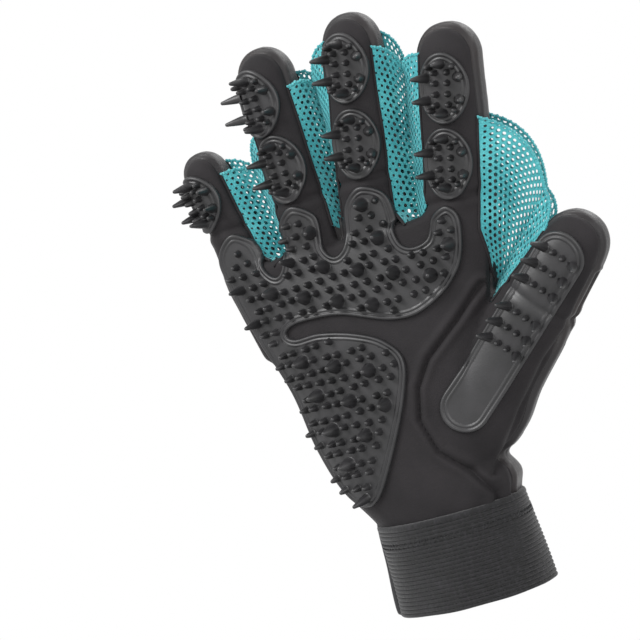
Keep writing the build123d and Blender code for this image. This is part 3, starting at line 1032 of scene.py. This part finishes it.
def tab_outline():
    """The tab's outline: square at its anchor and round at its free end."""
    low, high, end, radius = -0.3, 38.3, 51.0, 15.0
    middle = (low + high) / 2
    outline = [(1.5, low), (1.5, middle), (1.5, high)]
    outline += [(x, high) for x in (9, 18, 27)]
    for turn in np.radians(np.arange(90, -91, -15)):
        z = high - radius if turn > 0 else low + radius
        if abs(turn) < 0.01:
            z = middle
        outline.append((end - radius + radius * math.cos(turn), z + radius * math.sin(turn)))
    return outline + [(x, low) for x in (27, 18, 9)]


def strap():
    """The tab that closes the cuff: a slab with a raised edge and a row of stitches."""
    build, drape, outline = Build(), on_strap(STRAP_OFF), tab_outline()
    line, inward = slab(build, outline, 1.0, drape, STRAP_EDGE, 1.78, 1.3, 1.7)
    slab(build, outline, 1.0, drape, ((0.6, -0.1), (2.0, -0.12), (4.0, -0.12)), -0.1, 1.6, 1.2)
    inner = line + inward * 3.2
    for a, b in zip(inner[::3], inner[2::3]):
        dash = [drape(*(a + (b - a) * k / 4)) for k in range(5)]
        cord_along(build, [place + out * 1.85 for place, out in dash], 0.3, 6)
    piece = make(build, "strap_tab_rubber", "strap_rubber", None, ["strap_tab", "strap_anchor"])
    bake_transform(piece)


def hook_and_loop():
    """The hook tape under the tab, and the loop pile on the cuff that it closes on."""
    tape, drape = Build(), on_strap(HOOK_OFF)
    slab(tape, HOOKS, 1.2, drape, ((0.2, 0.0), (0.0, 0.3), (0.2, 0.75), (3.0, 0.75)), 0.74, 1.5, 1.4)
    slab(tape, HOOKS, 1.2, drape, ((0.2, 0.0), (3.0, 0.0)), 0.0, 1.5, 1.4)
    make(tape, "hook_tape", "hook", "strap", ["hook_patch"])
    pile, edge = Build(), ((0.0, -0.4), (0.0, 0.5), (0.4, 0.95), (3.0, 1.0))
    slab(pile, PILE, 1.0, on_strap(PILE_OFF), edge, 1.0, 1.2, 1.6)
    make(pile, "loop_pile", "loop", "hand", ["loop_patch"])


def paw(skin):
    """A plain paw print on the back of the hand."""
    build = Build()
    for x, z, wide, tall, tilt in PAW:
        c, s = math.cos(math.radians(tilt)), math.sin(math.radians(tilt))
        loop = []
        for t in circle(28):
            size = 1 - 0.16 * math.exp(-((t - 1.5 * math.pi) / 0.5) ** 2) * (wide > 5)
            u, v = wide * math.cos(t) * size, tall * math.sin(t) * size
            loop.append((PAW_AT[0] + x + c * u - s * v, PAW_AT[1] + z + s * u + c * v))
        edge = ((0.0, -0.5), (0.0, 0.35), (0.3, 0.6), (2.0, 0.62))
        slab(build, loop, 0.7, skin.back, edge, 0.6, 0.8, 1.0)
    make(build, "paw_print", "print", "hand", ["back_emblem"])


# ---------------- materials
class Finish:
    """A node material in the making; lengths in its nodes are the object's own metres."""

    def __init__(self, name, **sockets):
        self.material = bpy.data.materials.new(name)
        self.material.use_nodes = True
        self.nodes, self.links = self.material.node_tree.nodes, self.material.node_tree.links
        self.shader = self.nodes["Principled BSDF"]
        for socket, value in sockets.items():
            self.shader.inputs[socket.replace("_", " ")].default_value = value
        self.place = self.nodes.new("ShaderNodeTexCoord").outputs["Object"]

    def node(self, kind, inputs=(), **settings):
        made = self.nodes.new("ShaderNode" + kind)
        for key, value in settings.items():
            setattr(made, key, value)
        for key, value in dict(inputs).items():
            if isinstance(value, bpy.types.NodeSocket):
                self.links.new(value, made.inputs[key])
            else:
                made.inputs[key].default_value = value
        return made

    def stretched(self, scale):
        return self.node("Mapping", {"Vector": self.place, "Scale": scale}).outputs[0]

    def noise(self, scale, detail=2.0, vector=None):
        inputs = {"Vector": vector or self.place, "Scale": scale, "Detail": detail}
        return self.node("TexNoise", inputs).outputs[0]

    def cells(self, scale, vector=None):
        return self.node("TexVoronoi", {"Vector": vector or self.place, "Scale": scale}).outputs["Distance"]

    def wave(self, scale, distortion):
        inputs = {"Vector": self.place, "Scale": scale, "Distortion": distortion}
        return self.node("TexWave", inputs, bands_direction="DIAGONAL").outputs["Fac"]

    def math(self, operation, a, b):
        return self.node("Math", {0: a, 1: b}, operation=operation).outputs[0]

    def colour(self, share, *stops):
        """Colours from stops of position and sRGB triple."""
        ramp = self.node("ValToRGB", {"Fac": share})
        elements = ramp.color_ramp.elements
        while len(elements) < len(stops):
            elements.new(0.5)
        for element, (position, shade) in zip(elements, stops):
            element.position = position
            element.color = (*(linear(v) for v in shade), 1.0)
        self.links.new(ramp.outputs[0], self.shader.inputs["Base Color"])

    def roughness(self, share, low, high):
        run = self.node("MapRange", {"Value": share, "To Min": low, "To Max": high})
        self.links.new(run.outputs[0], self.shader.inputs["Roughness"])

    def bump(self, *heights):
        """Bumps from pairs of a height and its depth in millimetres."""
        normal = None
        for height, depth in heights:
            inputs = {"Height": height, "Distance": depth * MM}
            if normal:
                inputs["Normal"] = normal
            normal = self.node("Bump", inputs).outputs[0]
        self.links.new(normal, self.shader.inputs["Normal"])


def linear(value):
    """An sRGB level from 0 to 255 as a linear share."""
    share = value / 255
    return share / 12.92 if share <= 0.04045 else ((share + 0.055) / 1.055) ** 2.4


def front_fabric():
    finish = Finish("front fabric", Sheen_Weight=0.04, Sheen_Roughness=0.5, Specular_IOR_Level=0.25)
    mottle = finish.noise(60, 4)
    grain = finish.noise(2600, 3)
    finish.colour(finish.math("MULTIPLY", mottle, grain), (0.1, (18, 16, 18)), (0.42, (34, 31, 33)))
    finish.roughness(grain, 0.62, 0.86)
    finish.bump((finish.cells(2300), 0.10), (finish.noise(420, 3), 0.10))
    return finish.material


def back_fabric():
    finish = Finish("back fabric", Sheen_Weight=0.12, Sheen_Roughness=0.3, Specular_IOR_Level=0.5)
    weave = finish.wave(1700, 1.5)
    finish.colour(finish.noise(26, 3), (0.3, (14, 11, 15)), (0.5, (20, 16, 18)), (0.72, (31, 23, 22)))
    finish.roughness(weave, 0.34, 0.52)
    finish.bump((weave, 0.04), (finish.noise(900, 2), 0.05))
    return finish.material


def rubber():
    finish = Finish("moulded silicone", Specular_IOR_Level=0.55, Coat_Weight=0.05, Coat_Roughness=0.35)
    finish.colour(finish.noise(110, 4), (0.3, (25, 25, 26)), (0.7, (36, 35, 37)))
    finish.roughness(finish.noise(700, 4), 0.36, 0.56)
    finish.bump((finish.noise(1500, 3), 0.05))
    return finish.material


def teal_mesh():
    finish = Finish("mesh yarn", Sheen_Weight=0.25, Sheen_Roughness=0.4)
    yarn = finish.noise(2400, 3)
    patches = finish.noise(70, 3)
    share = finish.math("ADD", finish.math("MULTIPLY", yarn, 0.6), finish.math("MULTIPLY", patches, 0.5))
    finish.colour(share, (0.32, (34, 122, 130)), (0.55, (58, 165, 172)), (0.75, (104, 203, 205)))
    finish.roughness(yarn, 0.5, 0.75)
    finish.bump((finish.wave(1500, 3.0), 0.12), (yarn, 0.1))
    return finish.material


def knit():
    finish = Finish("knitted elastic", Sheen_Weight=0.2, Sheen_Roughness=0.5, Specular_IOR_Level=0.3)
    columns = finish.noise(900, 2, finish.stretched((1, 1, 0.25)))
    finish.colour(columns, (0.3, (9, 9, 10)), (0.5, (19, 19, 21)), (0.72, (34, 33, 36)))
    finish.roughness(columns, 0.7, 0.92)
    finish.bump((finish.cells(1500, finish.stretched((1, 1, 0.5))), 0.16), (finish.noise(3000, 2), 0.08))
    return finish.material


def strap_rubber():
    finish = Finish("strap rubber", Specular_IOR_Level=0.5)
    finish.colour(finish.noise(90, 4), (0.3, (28, 28, 30)), (0.7, (40, 40, 43)))
    finish.roughness(finish.noise(500, 3), 0.45, 0.62)
    finish.bump((finish.cells(1900), 0.05), (finish.noise(260, 2), 0.05))
    return finish.material


def loop_pile():
    finish = Finish("loop pile", Sheen_Weight=0.5, Sheen_Roughness=0.6, Specular_IOR_Level=0.15)
    pile = finish.noise(1900, 4)
    finish.colour(pile, (0.3, (18, 18, 21)), (0.7, (50, 49, 54)))
    finish.roughness(pile, 0.85, 1.0)
    finish.bump((finish.cells(1300), 0.4), (pile, 0.3))
    return finish.material


def hook_tape():
    finish = Finish("hook tape", Specular_IOR_Level=0.4)
    hooks = finish.cells(900)
    finish.colour(hooks, (0.1, (58, 58, 62)), (0.5, (20, 20, 23)))
    finish.roughness(hooks, 0.4, 0.7)
    finish.bump((hooks, 0.5))
    return finish.material


def teal_print():
    finish = Finish("rubber print", Specular_IOR_Level=0.5)
    finish.colour(finish.noise(160, 3), (0.3, (24, 192, 186)), (0.7, (36, 214, 206)))
    finish.roughness(finish.noise(800, 2), 0.4, 0.55)
    finish.bump((finish.wave(1700, 1.5), 0.03), (finish.noise(500, 2), 0.04))
    return finish.material


FINISHES = dict(
    fabric_front=front_fabric, fabric_back=back_fabric, rubber_pad=rubber, mesh=teal_mesh, cuff_elastic=knit,
    strap_rubber=strap_rubber, loop=loop_pile, hook=hook_tape, print=teal_print,
)


def paint():
    """Each piece gets the finish of its slot."""
    made = {slot: finish() for slot, finish in FINISHES.items()}
    for piece in bpy.data.objects:
        if piece.type == "MESH" and "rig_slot" in piece:
            piece.data.materials.clear()
            piece.data.materials.append(made[piece["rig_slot"]])


form = glove_form()
press_seams(form)
skin = Skin(form)
fabric_panels(form)
drop(form)
finger_pads(skin)
palm_pad(skin)
thumb_pad(skin)
webs(skin)
cuff()
strap()
hook_and_loop()
paw(skin)
paint()

# ---------------- camera and light
VIEW_AZIMUTH = 26.0
VIEW_RISE = 3.0
VIEW_ROLL = 17.0
VIEW_DISTANCE = 1100.0
VIEW_WIDTH = 262.0  # width of the picture at the glove
AIM_ALONG, AIM_UP = -27.5, 127.6  # middle of the picture: sideways and up at the glove
SENSOR = 36.0


def camera():
    """A long lens on the glove's palm side, rolled as the photograph is."""
    turn, rise = math.radians(VIEW_AZIMUTH), math.radians(VIEW_RISE)
    right = Vector((math.cos(turn), math.sin(turn), 0))
    back = Vector((math.sin(turn) * math.cos(rise), -math.cos(turn) * math.cos(rise), math.sin(rise)))
    aim = right * AIM_ALONG + Vector((0, 0, AIM_UP))
    data = bpy.data.cameras.new("camera")
    data.sensor_width = SENSOR
    data.lens = SENSOR * VIEW_DISTANCE / VIEW_WIDTH
    data.clip_end = 20.0
    eye = put("camera", data)
    eye.location = (aim + back * VIEW_DISTANCE) * MM
    eye.rotation_mode = "QUATERNION"
    roll = Quaternion((0, 0, 1), math.radians(-VIEW_ROLL))
    eye.rotation_quaternion = (-back).to_track_quat("-Z", "Y") @ roll
    bpy.context.scene.camera = eye


def lamp(name, place, aim, size, power):
    """A square area lamp, in metres and watts."""
    data = bpy.data.lights.new(name, "AREA")
    data.size, data.energy = size, power
    light = put(name, data)
    light.location = place
    light.rotation_mode = "QUATERNION"
    light.rotation_quaternion = (Vector(aim) - Vector(place)).to_track_quat("-Z", "Y")


def stage():
    """White all round, with three soft lamps."""
    world = bpy.data.worlds.new("studio")
    bpy.context.scene.world = world
    world.use_nodes = True
    background = world.node_tree.nodes["Background"]
    background.inputs["Color"].default_value = (1, 1, 1, 1)
    background.inputs["Strength"].default_value = 1.0
    lamp("key", (-0.7, -1.0, 1.3), (0, 0, 0.13), 0.7, 26)
    lamp("fill", (1.0, -0.8, 0.5), (0, 0, 0.13), 0.9, 8)
    lamp("rim", (0.5, 1.0, 1.0), (0, 0, 0.15), 0.7, 7)


camera()
stage()
bpy.context.scene.view_settings.view_transform = "Standard"

boxes = dict(cad=[list(map(float, corner)) for corner in CAD_BOX])
boxes["visual"] = [list(map(float, corner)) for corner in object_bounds()]
